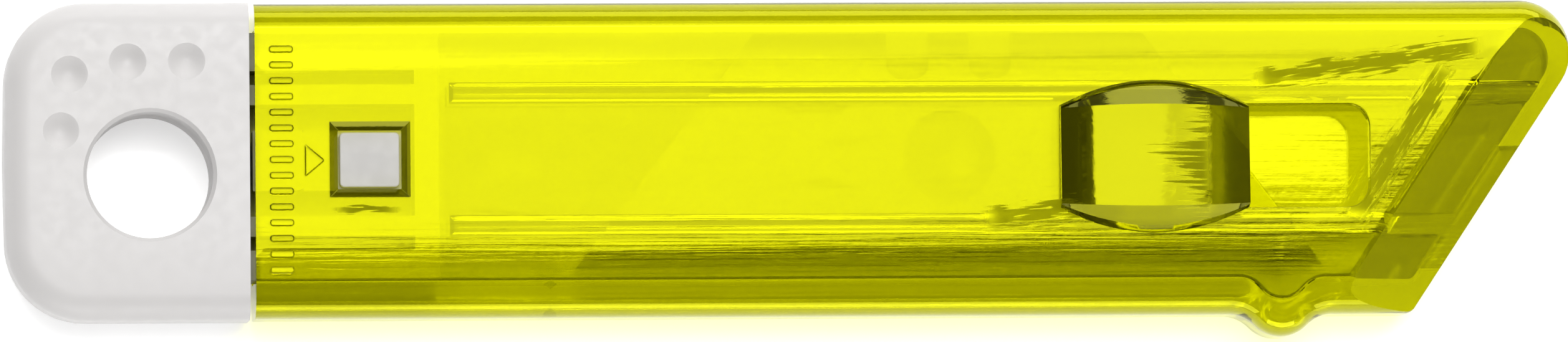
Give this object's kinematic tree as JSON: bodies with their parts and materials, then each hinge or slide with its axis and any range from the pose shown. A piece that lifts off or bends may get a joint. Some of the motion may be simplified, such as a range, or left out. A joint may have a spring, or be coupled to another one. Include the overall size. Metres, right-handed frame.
{
  "type": "utility knife",
  "caption": "Slim clear-plastic utility knife: a slide-out trapezoid blade under a thumb button, a slanted nose, a finger stop and a latched end cap with a lanyard eye.",
  "frame": {"origin": "on the flat back face, under the middle of the knife's length", "axes": "+X along the knife towards the nose, +Y across it towards the blade's back, +Z out through the face with the thumb button"},
  "size_m": [0.13, 0.028, 0.0114],
  "materials": {
    "clear_plastic": "transparent fluorescent yellow, polished, lightly scratched",
    "cap_plastic": "off-white, satin moulded",
    "blade_steel": "ground along its length"
  },
  "bodies": {
    "handle": {"body_sleeve": "clear_plastic"},
    "slider": {"blade_carriage": "clear_plastic", "click_arm": "clear_plastic", "blade": "blade_steel", "slider_bar": "clear_plastic", "thumb_button": "clear_plastic"},
    "cap": {"end_cap": "cap_plastic"},
    "latch": {"latch_tongue": "cap_plastic"}
  },
  "joints": [
    {"name": "blade_slide", "type": "slide", "parent": "handle", "child": "slider", "axis": [1, 0, 0], "range_m": [0, 0.016], "deforming": ["click_arm"]},
    {"name": "cap_slide", "type": "slide", "parent": "handle", "child": "cap", "axis": [-1, 0, 0], "range_m": [0, 0.018], "deforming": ["latch_tongue"]},
    {"name": "latch_press", "type": "hinge", "parent": "cap", "child": "latch", "pos_m": [-0.0435, 0, 0.0063], "axis": [0, 1, 0], "range_deg": [0, 9], "stiffness_Nm_per_rad": 0.2}
  ]
}
